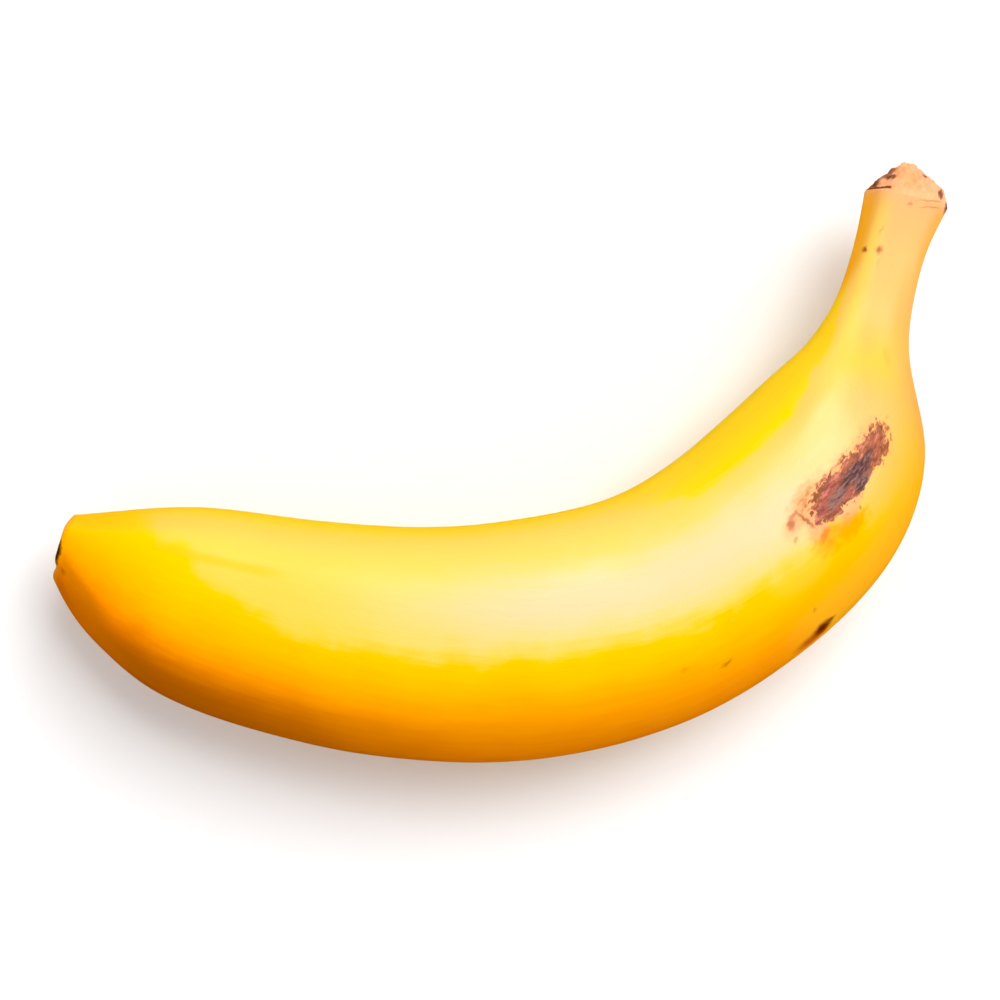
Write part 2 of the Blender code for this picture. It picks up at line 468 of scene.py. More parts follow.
    def wobbled(self, vector, size, amount, detail=2.0):
        """The vector moved to and fro by noise, by about the given amount in millimetres."""
        reach = amount / NOISE_SPREAD
        colour = self.noise(vector, size, detail, output="Color")
        shift = self.vector("MULTIPLY_ADD", colour, (reach,) * 3, (-reach / 2,) * 3)[0]
        return self.vector("ADD", vector, shift)[0]

    def away(self, vector, centre, size, turn=0.0):
        """Distance from a patch's centre, where 1 is its edge; the turn is about the upward axis."""
        if turn:
            vector = self.turned(vector, -turn, centre)
        scale = tuple(1 / length for length in size)
        shift = tuple(-place / length for place, length in zip(centre, size))
        placed = self.vector("MULTIPLY_ADD", vector, scale, shift)[0]
        return self.vector("LENGTH", placed)["Value"]

    def nearest(self, vector, patches):
        """Distance from the nearest of some patches, where 1 is the edge."""
        result = self.away(vector, *patches[0])
        for patch in patches[1:]:
            result = self.math("MINIMUM", result, self.away(vector, *patch))
        return result


# Grain of the peel: how much of the noise's scale is left along the fruit, its size across in millimetres,
# its detail and roughness, and its turn in degrees if it has one.
STREAKS = (0.08, 1.1, 3.0, 0.60, 6.0)
ROUGH = (0.50, 0.55, 3.0, 0.65)
# Soft patches of the peel: the noise's size in millimetres and its detail.
PATCHES = (9.0, 2.0)
# How far the streaks and the patches each move the limits between colours, as a share of the depth.
STRAY = 0.10
# How the edges of spots fray: the size of the waves and their reach in millimetres.
FRAY = (0.8, 0.24)
# How rough the surface is, from 0 for a mirror to 1 for chalk.
PEEL_ROUGHNESS = 0.45
WAX_ROUGHNESS = 0.42
STRIP_ROUGHNESS = 0.55
NECK_ROUGHNESS = 0.56
BRUISE_ROUGHNESS = 0.6
CORE_ROUGHNESS = 0.65
TORN_ROUGHNESS = 0.65
TAN_ROUGHNESS = 0.7
DRY_ROUGHNESS = 0.8


class Skin:
    """The peel's colour, roughness and height in millimetres, to which layers are added."""

    def __init__(self, nodes):
        self.nodes = nodes
        self.straight = nodes.attribute("straight", "Vector")
        self.across = nodes.attribute("across")
        self.stump = nodes.attribute("stump")
        self.face = nodes.attribute("face")
        parts = nodes.new("ShaderNodeSeparateXYZ", {"Vector": self.straight}).outputs
        self.along = parts["X"]
        self.inward = parts["Y"]
        self.up = parts["Z"]
        self.frayed = nodes.wobbled(self.straight, *FRAY)
        self.rough = nodes.grain(self.straight, *ROUGH)
        self.streaks = nodes.grain(self.straight, *STREAKS)
        patches = nodes.noise(self.straight, *PATCHES)
        self.stray = nodes.plus(nodes.swing(self.streaks, STRAY), nodes.swing(patches, STRAY))
        self.colour = None
        self.roughness = PEEL_ROUGHNESS
        self.height = 0.0

    def paint(self, mask, colour, roughness=None):
        """Lays a colour, and a roughness if there is one, over what is there."""
        self.colour = self.nodes.mix(mask, self.colour, colour)
        if roughness is not None:
            self.roughness = self.nodes.blend(mask, self.roughness, roughness)

    def lift(self, height):
        """Raises the surface, or lowers it."""
        self.height = self.nodes.plus(self.height, height)

    def stretch(self, rise, fall):
        """1 along a stretch of the fruit and 0 beyond it, with a fade from each side."""
        return self.nodes.times(self.nodes.smooth(self.along, *rise), self.nodes.smooth(self.along, *fall))


# In the layers below, a fade is the value at which a layer starts, the one from which it is full and, where
# it isn't 1, its strength. A stretch is two such fades by distance along the fruit, one from each side.

# Colours of the ripe peel by share of the depth, from the inner edge of the bend to the outer edge, with
# painted shade that makes them darker and more orange towards the outer edge, which turns away from the
# light.
RIPE_AND_SHADE_ACROSS = (
    (0.00, (0.95, 0.58, 0.002)),
    (0.10, (0.95, 0.57, 0.002)),
    (0.45, (0.95, 0.53, 0.002)),
    (0.60, (0.95, 0.445, 0.002)),
    (0.70, (0.95, 0.36, 0.001)),
    (0.80, (0.94, 0.29, 0.001)),
    (0.92, (0.86, 0.22, 0.001)),
    (1.00, (0.76, 0.195, 0.001)),
)
# By how much of the depth those colours, and so their painted shade, move inwards, by distance along the
# fruit.
RIPE_AND_SHADE_SHIFT = (
    (0, 0.20), (10, 0.18), (20, 0.10), (50, 0.0), (80, -0.06), (110, -0.12), (140, -0.20), (165, -0.26),
    (186, -0.20),
)
# The same on the underside, which has less of the painted shade and is a more even yellow, as a fade by
# height.
UNDERSIDE = (3.0, -13.0, -0.27)
# What the ripe colours are multiplied by at the flower end.
TIP_TINT = (1.0, 0.88, 1.0)
TIP_FADE = (20.0, 3.0)
# The burnt orange of the outer edge near the flower end: a deeper tone of the peel, with painted shade where
# the fruit bends away from the light.
BURNT_AND_SHADE = (0.52, 0.118, 0.001)
BURNT_AND_SHADE_FADE = (0.70, 1.02, 0.85)
BURNT_AND_SHADE_STRETCH = ((5.0, 20.0), (75.0, 26.0))


def ripe_peel_and_shade(skin):
    """Ripe yellow, deeper towards the outer edge of the bend and the flower end, partly in its own tone and
    partly by painted shade.
    """
    nodes = skin.nodes
    ripe_and_shade_shift = nodes.plus(nodes.profile(skin.along, RIPE_AND_SHADE_SHIFT), nodes.smooth(skin.up, *UNDERSIDE))
    place = nodes.plus(skin.across, ripe_and_shade_shift, skin.stray)
    near_tip = nodes.smooth(skin.along, *TIP_FADE)
    # The ramp paints shade into the ripe yellow: darker and more orange towards the outer edge.
    skin.colour = nodes.mix(near_tip, nodes.ramp(place, RIPE_AND_SHADE_ACROSS), TIP_TINT, blend="MULTIPLY")
    # Paints the burnt orange and its shade on the outer edge near the flower end.
    skin.paint(nodes.times(nodes.smooth(place, *BURNT_AND_SHADE_FADE), skin.stretch(*BURNT_AND_SHADE_STRETCH)), BURNT_AND_SHADE)


# Share of the depth down to which the peel is pale and waxy, with a painted highlight in it, by distance
# along the fruit.
PALE_DOWN_TO = (
    (0, -0.10), (12, -0.02), (17, 0.16), (22, 0.22), (27, 0.36), (33, 0.42), (41, 0.50), (60, 0.52),
    (80, 0.56), (97, 0.57), (113, 0.62), (128, 0.66), (136, 0.76), (146, 0.98), (152, 1.10), (186, 1.10),
)
PALE_FADE = (0.06, -0.08, 0.9)
# The fade of the pale wax by share of the depth, at the inner edge of the bend.
PALE_START = (-0.01, 0.08)
# How far blotches move its limit, as a share of the depth, and their size in millimetres.
BLOTCH_STRAY = 0.14
BLOTCH_SIZE = 4.0
# Its colour by distance along the fruit.
PALE_ALONG = (
    (0, (0.95, 0.56, 0.08)),
    (110, (0.95, 0.57, 0.12)),
    (128, (0.95, 0.52, 0.13)),
    (142, (0.95, 0.40, 0.115)),
    (156, (0.95, 0.41, 0.09)),
    (170, (0.93, 0.435, 0.155)),
    (183, (0.93, 0.40, 0.19)),
)
# The yellower wax on the inner half where the neck begins.
PALE_YELLOW = (0.95, 0.605, 0.115)
PALE_YELLOW_FADE = (0.40, 0.13, 0.8)
PALE_YELLOW_STRETCH = ((128.0, 146.0), (184.0, 172.0))
# The palest line in the wax, a painted highlight: its place by distance along the fruit and its fade to both
# sides, as shares of the depth.
PAINTED_HIGHLIGHT = (0.95, 0.58, 0.31)
PAINTED_HIGHLIGHT_LINE = ((0, 0.30), (60, 0.33), (90, 0.36), (130, 0.46), (186, 0.5))
PAINTED_HIGHLIGHT_FADE = (0.24, 0.0)
PAINTED_HIGHLIGHT_STRETCH = ((40.0, 84.0), (142.0, 122.0))


def pale_wax_and_highlight(skin):
    """The pale, waxy part of the peel with a painted highlight in it, which ends in soft streaks along the
    fruit, and the highlight's palest line.
    """
    nodes = skin.nodes
    blotches = nodes.swing(nodes.noise(skin.straight, BLOTCH_SIZE), BLOTCH_STRAY)
    place = nodes.plus(skin.across, skin.stray, blotches)
    below = nodes.minus(place, nodes.profile(skin.along, PALE_DOWN_TO))
    pale_and_highlight = nodes.times(nodes.smooth(below, *PALE_FADE), nodes.smooth(skin.across, *PALE_START))
    yellow = nodes.times(nodes.smooth(skin.across, *PALE_YELLOW_FADE), skin.stretch(*PALE_YELLOW_STRETCH))
    wax = nodes.mix(yellow, nodes.wide_ramp(skin.along, PALE_ALONG), PALE_YELLOW)
    # Paints the pale wax, partly the peel's own bloom and partly a painted highlight.
    skin.paint(pale_and_highlight, wax, WAX_ROUGHNESS)
    # The palest line of the painted highlight.
    off = nodes.plus(nodes.apart(skin.across, nodes.profile(skin.along, PAINTED_HIGHLIGHT_LINE)), skin.stray)
    skin.paint(nodes.times(nodes.smooth(off, *PAINTED_HIGHLIGHT_FADE), skin.stretch(*PAINTED_HIGHLIGHT_STRETCH)), PAINTED_HIGHLIGHT)


# The deep yellow strip along the inner edge: the share of the depth down to which it runs, by distance along
# the fruit, how much of the usual stray its limit has, and how many millimetres its start strays by.
STRIP = (0.95, 0.59, 0.002)
STRIP_DOWN_TO = (
    (84, -0.02), (98, 0.08), (108, 0.17), (130, 0.18), (140, 0.12), (150, 0.11), (160, 0.07), (172, 0.02),
)
STRIP_FADE = (-0.02, 0.03, 0.98)
STRIP_START = (84.0, 112.0)
STRIP_END = (174.0, 158.0)
STRIP_STRAY = 0.6
STRIP_START_STRAY = 90.0
# The golden outer part of the shoulder.
GOLD = (0.95, 0.42, 0.010)
GOLD_FADE = (0.60, 0.88, 0.85)
GOLD_STRETCH = ((112.0, 122.0), (160.0, 144.0))


def strip_and_shoulder(skin):
    """The deep yellow strip along the inner edge, and the golden outer part of the shoulder."""
    nodes = skin.nodes
    place = nodes.plus(skin.across, nodes.times(skin.stray, STRIP_STRAY))
    above = nodes.minus(nodes.profile(skin.along, STRIP_DOWN_TO), place)
    start = nodes.plus(skin.along, nodes.times(skin.stray, STRIP_START_STRAY))
    strip = nodes.times(nodes.smooth(above, *STRIP_FADE), nodes.smooth(start, *STRIP_START),
                        nodes.smooth(skin.along, *STRIP_END))
    skin.paint(strip, STRIP, STRIP_ROUGHNESS)
    gold = nodes.smooth(nodes.plus(skin.across, skin.stray), *GOLD_FADE)
    skin.paint(nodes.times(gold, skin.stretch(*GOLD_STRETCH)), GOLD)


# The yellower band across the neck's root, in millimetres: its middle at the inner edge, how much further on
# that lies at the outer edge, its fade to both sides, and how many millimetres it strays by.
NECK_YELLOW = (0.95, 0.50, 0.030)
NECK_YELLOW_START = 145.0
NECK_YELLOW_SLANT = 14.0
NECK_YELLOW_FADE = (6.5, 0.0, 0.6)
NECK_YELLOW_STRAY = 30.0
NECK_YELLOW_ACROSS = (0.12, 0.3)
# Orange painted shade along its inner edge, and down to which share of the depth it runs by distance along
# the fruit.
NECK_INNER_SHADE = (0.97, 0.39, 0.004)
NECK_INNER_SHADE_DOWN_TO = ((150, -0.10), (158, -0.02), (163, 0.06), (168, 0.13), (186, 0.16))
NECK_INNER_SHADE_FADE = (-0.04, 0.09, 0.9)
# The warmer outer half of its root.
NECK_WARM = (0.95, 0.36, 0.09)
NECK_WARM_FADE = (0.52, 0.80, 0.6)
NECK_WARM_STRETCH = ((143.0, 152.0), (170.0, 160.0))
# Orange painted shade along its outer edge.
NECK_OUTER_SHADE = (0.93, 0.38, 0.04)
NECK_OUTER_SHADE_FADE = (0.80, 0.95, 0.8)
NECK_OUTER_SHADE_START = (160.0, 172.0)
# Where the neck's own roughness starts.
NECK_START = (146.0, 158.0)


def neck(skin):
    """The neck: a yellower band slanting across its root, and orange painted shade along its edges."""
    nodes = skin.nodes
    middle = nodes.plus(nodes.times(skin.across, NECK_YELLOW_SLANT), NECK_YELLOW_START)
    off = nodes.plus(nodes.apart(skin.along, middle), nodes.times(skin.stray, NECK_YELLOW_STRAY))
    band = nodes.times(nodes.smooth(off, *NECK_YELLOW_FADE), nodes.smooth(skin.across, *NECK_YELLOW_ACROSS))
    skin.paint(band, NECK_YELLOW)
    inner = nodes.minus(nodes.profile(skin.along, NECK_INNER_SHADE_DOWN_TO), skin.across)
    # Paints orange shade along the neck's inner edge.
    skin.paint(nodes.smooth(inner, *NECK_INNER_SHADE_FADE), NECK_INNER_SHADE)
    warm = nodes.smooth(skin.across, *NECK_WARM_FADE)
    skin.paint(nodes.times(warm, skin.stretch(*NECK_WARM_STRETCH)), NECK_WARM)
    outer = nodes.smooth(skin.across, *NECK_OUTER_SHADE_FADE)
    # Paints orange shade along the neck's outer edge.
    skin.paint(nodes.times(outer, nodes.smooth(skin.along, *NECK_OUTER_SHADE_START)), NECK_OUTER_SHADE)
    skin.roughness = nodes.blend(nodes.smooth(skin.along, *NECK_START), skin.roughness, NECK_ROUGHNESS)


# The ridge's painted shade, a thin line: its place by distance along the fruit, its fade to both sides of
# that place and how far it strays, all as shares of the depth, and its fade by height.
RIDGE_SHADE = (0.95, 0.50, 0.02)
RIDGE_SHADE_LINE = ((12, 0.19), (24, 0.235), (40, 0.25))
RIDGE_SHADE_FADE = (0.045, 0.0, 0.8)
RIDGE_SHADE_STRAY = 0.04
RIDGE_SHADE_STRETCH = ((13.0, 20.0), (42.0, 33.0))
RIDGE_SHADE_TOP = (0.0, 3.0)


def ridge_shade(skin):
    """A thin line of painted shade along the ridge near the flower end."""
    nodes = skin.nodes
    off = nodes.apart(skin.across, nodes.profile(skin.along, RIDGE_SHADE_LINE))
    off = nodes.plus(off, nodes.swing(skin.streaks, RIDGE_SHADE_STRAY))
    line = nodes.times(nodes.smooth(off, *RIDGE_SHADE_FADE), skin.stretch(*RIDGE_SHADE_STRETCH),
                       nodes.smooth(skin.up, *RIDGE_SHADE_TOP))
    # Paints a thin line of shade along the ridge.
    skin.paint(line, RIDGE_SHADE)


# The bruise on the shoulder, in patches: middle (along, inwards, up) and size in millimetres, and turn in
# degrees. First come the patches of its body, and then one for the whole of it.
BRUISE = (
    ((129.5, -1.5, 15.5), (3.3, 2.6, 9.0), 8.0),
    ((134.1, -2.1, 15.5), (4.4, 2.5, 9.0), 4.0),
    ((139.1, -2.3, 15.5), (4.6, 2.15, 9.0), -6.0),
)
BRUISE_WHOLE = ((134.6, -2.0, 15.5), (8.6, 3.0, 9.0), -3.0)
BRUISE_CORE = (
    ((135.6, -2.0, 15.5), (4.2, 1.25, 9.0), -6.0),
    ((135.0, -3.8, 15.5), (1.3, 0.7, 9.0), 0.0),
)
BRUISE_GREY = (
    ((130.8, -2.0, 15.5), (2.6, 1.1, 9.0), 8.0),
    ((135.6, -3.6, 15.5), (2.0, 0.9, 9.0), 0.0),
)
BRUISE_HALO = (
    ((126.8, 0.3, 15.5), (4.6, 3.0, 9.0), -10.0),
    ((132.5, 0.0, 15.5), (5.0, 2.2, 9.0), 0.0),
    ((138.8, -1.3, 15.5), (5.0, 2.7, 9.0), -6.0),
)
BRUISE_BLUSH = (
    ((132.0, -4.9, 15.5), (3.0, 1.4, 9.0), 8.0),
    ((125.9, -3.2, 15.5), (2.1, 2.2, 9.0), 0.0),
)
BRUISE_RUST = (
    ((126.3, -5.8, 15.5), (3.0, 2.4, 9.0), 0.0),
    ((130.3, -7.0, 15.5), (3.6, 1.6, 9.0), -10.0),
)
# Their fades by distance from a patch's middle, where 1 is its edge.
BODY_FADE = (1.14, 0.88)
CORE_FADE = (1.3, 0.5, 0.95)
GREY_FADE = (1.25, 0.5, 0.8)
HALO_FADE = (1.35, 0.5)
BLUSH_FADE = (1.25, 0.6, 0.7)
RUST_FADE = (1.3, 0.5, 0.85)
BODY_STRENGTH = 0.94
HALO_STRENGTH = 0.8
# Grain of the bruise, in the same terms as the grain of the peel.
BRUISE_FIBRES = (0.16, 0.34, 3.0, 0.70, 5.0)
BRUISE_MOTTLE = (0.40, 0.75, 3.0, 0.65, 5.0)
BRUISE_SPECKS = (0.70, 0.95, 2.0, 0.50)
# How far the specks move the edges of the body and rust, of the halo and of the core, as shares of a patch.
BODY_RAGGED = 1.5
HALO_RAGGED = 1.05
CORE_RAGGED = 0.75
# Waves of its edge, and finer ones on top: their size and reach in millimetres.
BRUISE_WAVES = (2.2, 0.5)
BRUISE_FRAY = (0.6, 0.25)
# Its fade by height, which keeps it off the underside.
BRUISE_TOP = (2.0, 6.0)

BRUISE_DARK = (0.15, 0.032, 0.015)
BRUISE_RED = (0.35, 0.078, 0.036)
BRUISE_CRIMSON = (0.33, 0.062, 0.060)
BRUISE_SALMON = (0.55, 0.17, 0.11)
CORE_DARK = (0.040, 0.014, 0.020)
CORE_PURPLE = (0.11, 0.035, 0.045)
CORE_GREY = (0.24, 0.135, 0.115)
BRUISE_TAN = (0.60, 0.17, 0.055)
HALO = (0.86, 0.31, 0.10)
BLUSH = (0.82, 0.34, 0.16)
RUST = (0.92, 0.32, 0.002)
# Tones of the core and of the grey parts, by the fibres' noise.
CORE_TONES = ((0.40, CORE_DARK), (0.53, CORE_PURPLE), (0.66, CORE_GREY))
GREY_TONES = ((0.36, CORE_PURPLE), (0.52, CORE_GREY))
# Fades of the body's tone: by the mottle's noise to salmon and to dark, by the fibres' noise to dark, and by
# distance along the fruit to crimson.
SALMON_FADE = (0.52, 0.64)
DARK_MOTTLE_FADE = (0.47, 0.37)
DARK_FIBRE_FADE = (0.48, 0.34, 0.6)
CRIMSON_FADE = (137.0, 131.0)
# The darker rim of the body: by distance from a patch's middle, and by the specks' noise.
RIM_FADE = (0.62, 1.0)
RIM_SPECK_FADE = (0.40, 0.54, 0.8)
# Tan flecks in the halo and dark ones round the body, by the specks' noise, and the reach of the dark ones.
TAN_FLECK_FADE = (0.54, 0.62, 0.75)
DARK_FLECK_FADE = (0.57, 0.64, 0.85)
DARK_FLECK_REACH = (1.55, 1.1)
# The fade of its low relief, in millimetres, and the value of the noise that leaves the surface as it is.
SUNKEN_FADE = (1.1, 0.8, 0.10)
SUNKEN_LEVEL = 0.9


def bruise(skin):
    """The bruise on the shoulder: reddish brown and frayed, with a dark core and a tan halo."""
    nodes = skin.nodes
    fibres = nodes.grain(skin.straight, *BRUISE_FIBRES)
    mottle = nodes.grain(skin.straight, *BRUISE_MOTTLE)
    specks = nodes.grain(skin.straight, *BRUISE_SPECKS)
    ragged = nodes.swing(specks, BODY_RAGGED)
    soft = nodes.wobbled(skin.straight, *BRUISE_WAVES)
    frayed = nodes.wobbled(soft, *BRUISE_FRAY)
    top = nodes.smooth(skin.up, *BRUISE_TOP)

    rust = nodes.smooth(nodes.plus(nodes.nearest(soft, BRUISE_RUST), ragged), *RUST_FADE)
    skin.paint(nodes.times(rust, top), RUST)
    halo_edge = nodes.plus(nodes.nearest(soft, BRUISE_HALO), nodes.swing(specks, HALO_RAGGED))
    halo = nodes.times(nodes.smooth(halo_edge, *HALO_FADE), top)
    skin.paint(nodes.times(halo, HALO_STRENGTH), HALO)
    blush = nodes.smooth(nodes.nearest(soft, BRUISE_BLUSH), *BLUSH_FADE)
    skin.paint(nodes.times(blush, top), BLUSH)

    edge = nodes.nearest(frayed, BRUISE)
    skin.paint(nodes.times(nodes.smooth(specks, *TAN_FLECK_FADE), halo), BRUISE_TAN, BRUISE_ROUGHNESS)
    flecks = nodes.times(nodes.smooth(specks, *DARK_FLECK_FADE), nodes.smooth(edge, *DARK_FLECK_REACH), top)
    skin.paint(flecks, BRUISE_DARK, BRUISE_ROUGHNESS)
    body = nodes.times(nodes.smooth(nodes.plus(edge, ragged), *BODY_FADE), top)
    tone = nodes.mix(nodes.smooth(skin.along, *CRIMSON_FADE), BRUISE_RED, BRUISE_CRIMSON)
    tone = nodes.mix(nodes.smooth(mottle, *SALMON_FADE), tone, BRUISE_SALMON)
    tone = nodes.mix(nodes.smooth(mottle, *DARK_MOTTLE_FADE), tone, BRUISE_DARK)
    tone = nodes.mix(nodes.smooth(fibres, *DARK_FIBRE_FADE), tone, BRUISE_DARK)
    skin.paint(nodes.times(body, BODY_STRENGTH), tone, BRUISE_ROUGHNESS)
    rim = nodes.times(body, nodes.smooth(edge, *RIM_FADE), nodes.smooth(specks, *RIM_SPECK_FADE))
    skin.paint(rim, BRUISE_DARK, BRUISE_ROUGHNESS)

    grey = nodes.times(nodes.smooth(nodes.nearest(frayed, BRUISE_GREY), *GREY_FADE), top)
    skin.paint(grey, nodes.ramp(fibres, GREY_TONES), CORE_ROUGHNESS)
    core_edge = nodes.plus(nodes.nearest(frayed, BRUISE_CORE), nodes.swing(specks, CORE_RAGGED))
    core = nodes.times(nodes.smooth(core_edge, *CORE_FADE), top)
    skin.paint(core, nodes.ramp(fibres, CORE_TONES), CORE_ROUGHNESS)
    sunken = nodes.smooth(nodes.away(skin.straight, *BRUISE_WHOLE), *SUNKEN_FADE)
    skin.lift(nodes.times(sunken, nodes.minus(skin.rough, SUNKEN_LEVEL)))


# Small marks: middle (along, inwards, up) and size in millimetres, turn in degrees, colour and strength.
MARKS = (
    ((122.3, -0.6, 17.2), (2.0, 1.5, 2.0), 0.0, (0.82, 0.34, 0.14), 0.6),
    ((122.1, 0.0, 17.2), (0.9, 0.9, 2.0), 0.0, (0.42, 0.11, 0.04), 0.85),
    ((123.2, 0.8, 17.2), (1.0, 0.35, 2.0), 0.0, (0.50, 0.16, 0.07), 0.8),
    ((124.5, -1.1, 17.1), (2.1, 0.28, 2.0), -66.0, (0.30, 0.09, 0.035), 0.85),
    ((125.4, 0.4, 17.1), (0.4, 0.3, 2.0), 0.0, (0.30, 0.10, 0.02), 0.8),
    ((126.4, 0.6, 17.0), (0.5, 0.25, 2.0), 0.0, (0.25, 0.06, 0.02), 0.9),
    ((128.2, 0.3, 16.9), (0.5, 0.3, 2.0), 0.0, (0.25, 0.07, 0.02), 0.9),
    ((126.6, 1.8, 17.1), (0.5, 0.3, 2.0), 0.0, (0.45, 0.19, 0.04), 0.8),
    ((126.2, -5.1, 16.8), (1.2, 0.7, 2.0), 30.0, (0.62, 0.14, 0.004), 0.85),
    ((126.5, -6.5, 16.6), (0.8, 0.5, 2.0), 0.0, (0.75, 0.20, 0.004), 0.7),
    ((129.9, -6.1, 16.4), (2.6, 1.0, 2.0), -12.0, (0.86, 0.30, 0.010), 0.6),
    ((133.1, -6.1, 15.9), (0.4, 0.35, 2.0), 0.0, (0.30, 0.18, 0.03), 0.8),
    ((121.7, -2.5, 17.2), (0.45, 0.4, 2.0), 0.0, (0.42, 0.32, 0.10), 0.8),
    ((120.9, 0.5, 17.3), (0.4, 0.3, 2.0), 0.0, (0.65, 0.54, 0.13), 0.6),
    ((99.7, -10.0, 15.8), (0.8, 0.4, 2.0), 10.0, (0.60, 0.27, 0.01), 0.6),
    ((105.9, -12.3, 14.1), (1.1, 0.35, 2.0), 12.0, (0.50, 0.17, 0.004), 0.85),
    ((108.4, -6.6, 16.9), (0.9, 0.5, 2.0), 0.0, (0.70, 0.45, 0.04), 0.5),
    ((119.2, -17.6, 5.8), (2.7, 1.1, 2.2), 0.0, (0.52, 0.065, 0.016), 0.85),
    ((121.1, -17.2, 6.9), (1.5, 1.2, 2.4), 0.0, (0.14, 0.010, 0.010), 0.95),
    ((122.5, -17.0, 7.3), (0.9, 0.5, 0.9), 0.0, (0.20, 0.06, 0.005), 0.85),
    ((120.6, -13.4, 12.6), (0.5, 0.25, 1.0), 60.0, (0.62, 0.22, 0.01), 0.8),
    ((169.8, 4.4, 4.4), (0.5, 0.42, 1.5), 0.0, (0.42, 0.07, 0.010), 0.95),
    ((170.1, 2.3, 5.5), (0.75, 0.6, 2.0), 0.0, (0.40, 0.12, 0.04), 0.9),
    ((168.3, 1.8, 5.5), (0.9, 0.25, 2.0), -20.0, (0.75, 0.36, 0.10), 0.5),
    ((173.2, 2.9, 5.6), (0.9, 0.3, 2.0), -10.0, (0.50, 0.32, 0.10), 0.6),
    ((154.3, -1.9, 8.1), (1.6, 0.8, 2.0), 0.0, (0.93, 0.36, 0.04), 0.5),
    ((2.0, -2.4, 6.0), (0.6, 0.5, 1.5), 0.0, (0.40, 0.08, 0.003), 0.9),
    ((6.2, -3.5, 7.0), (6.8, 2.0, 6.0), -24.5, (0.50, 0.15, 0.002), 0.7),
    ((121.0, -7.0, 15.5), (6.5, 3.0, 6.0), 0.0, (0.95, 0.55, 0.08), 0.35),
)
MARK_FADE = (1.5, 0.3)


def marks(skin):
    """The small spots, scratches and scuffs."""
    nodes = skin.nodes
    for middle, size, turn, colour, strength in MARKS:
        distance = nodes.away(skin.frayed, middle, size, turn)
        skin.paint(nodes.smooth(distance, *MARK_FADE, strength), colour)


# The flower end's orange rim: a fade by distance along the fruit.
RIM_ORANGE = (0.86, 0.33, 0.02)
RIM_ORANGE_FADE = (1.4, 0.1, 0.7)
# The tan face and the scar in it: fades by share of the way to the scar's middle, and how ragged both are.
FACE_TAN = (0.55, 0.24, 0.060)
FACE_FADE = (0.08, 0.24)
SCAR_DARK = (0.040, 0.014, 0.004)
SCAR_BROWN = (0.22, 0.085, 0.020)
SCAR_FADE = (0.26, 0.42)
SCAR_BROWN_FADE = (0.40, 0.62)
FACE_RAGGED = 0.16
# The stretch of the rim that the scar's crust covers: middle (along, inwards, up), and size in millimetres.
CRUST = ((-0.3, -0.7, 5.0), (1.05, 2.3, 3.0))
CRUST_BROWN = (0.30, 0.11, 0.008)
CRUST_BROWN_FADE = (1.15, 0.85, 0.95)
CRUST_DARK = (0.060, 0.020, 0.003)
CRUST_DARK_FADE = (0.85, 0.6, 0.95)
# Low relief of the face: a fade to its height in millimetres.
FACE_RELIEF = (0.05, 0.3, 0.3)


def flower_end(skin):
    """The flower end: a tan rim, a hollow round the scar, the dry, dark scar and its crust on the rim."""
    nodes = skin.nodes
    uneven = nodes.minus(skin.rough, 0.5)
    skin.paint(nodes.smooth(skin.along, *RIM_ORANGE_FADE), RIM_ORANGE)
    inset = nodes.plus(skin.face, nodes.times(uneven, FACE_RAGGED))
    skin.paint(nodes.smooth(inset, *FACE_FADE), FACE_TAN, TAN_ROUGHNESS)
    scar = nodes.mix(nodes.smooth(skin.rough, *SCAR_BROWN_FADE), SCAR_DARK, SCAR_BROWN)
    skin.paint(nodes.smooth(inset, *SCAR_FADE), scar, DRY_ROUGHNESS)
    crust = nodes.plus(nodes.away(skin.straight, *CRUST), uneven)
    skin.paint(nodes.smooth(crust, *CRUST_BROWN_FADE), CRUST_BROWN, DRY_ROUGHNESS)
    skin.paint(nodes.smooth(crust, *CRUST_DARK_FADE), CRUST_DARK, DRY_ROUGHNESS)
    skin.lift(nodes.times(nodes.smooth(skin.face, *FACE_RELIEF), uneven))


# The stump's torn tissue: its tones by value of the noise, its fade by distance along the fruit, and the
# waves of its limit, as their size and reach in millimetres.
TORN_BROWN = (0.70, 0.28, 0.13)
TORN_PINK = (0.92, 0.40, 0.19)
TORN_PALE = (0.92, 0.50, 0.32)
TORN_TONES = ((0.26, TORN_BROWN), (0.42, TORN_PINK), (0.58, TORN_PINK), (0.70, TORN_PALE))
TORN_FADE = (177.0, 181.0)
TORN_WAVE_SIZE = 2.2
TORN_WAVE_REACH = 4.0
# The more orange part of it on top, as a patch.
TORN_ORANGE = (0.93, 0.34, 0.12)
ORANGE_TOP = ((181.8, 1.2, 3.0), (3.0, 3.4, 6.0))
ORANGE_TOP_FADE = (1.2, 0.3, 0.6)
# Dark spots on the stump: middle (along, inwards, up), size and turn.
TORN_DARK = (0.14, 0.035, 0.022)
TORN_SPOTS = (
    ((180.6, 6.0, 2.0), (0.8, 0.9, 4.0), 0.0),
    ((182.0, 4.0, 3.0), (0.55, 0.9, 4.0), 20.0),
    ((183.2, -1.6, 2.5), (0.5, 0.6, 4.0), 0.0),
    ((181.0, -4.6, 3.6), (1.0, 0.75, 2.5), 0.0),
    ((179.7, -6.4, 1.5), (1.5, 0.45, 4.0), 0.0),
)
TORN_SPOT_FADE = (1.3, 0.5, 0.9)
# The fade by distance along the fruit that keeps the spots and the fissures off the neck.
NECK_TOP = (177.4, 178.2)
# The dark fringe of its inner side: fades by height, inwards and along the fruit.
FRINGE_MAROON = (0.20, 0.045, 0.030)
FRINGE_BELOW = (3.4, 1.0, 0.8)
FRINGE_INWARD = (1.5, 3.0)
FRINGE_ALONG = (179.6, 181.0)
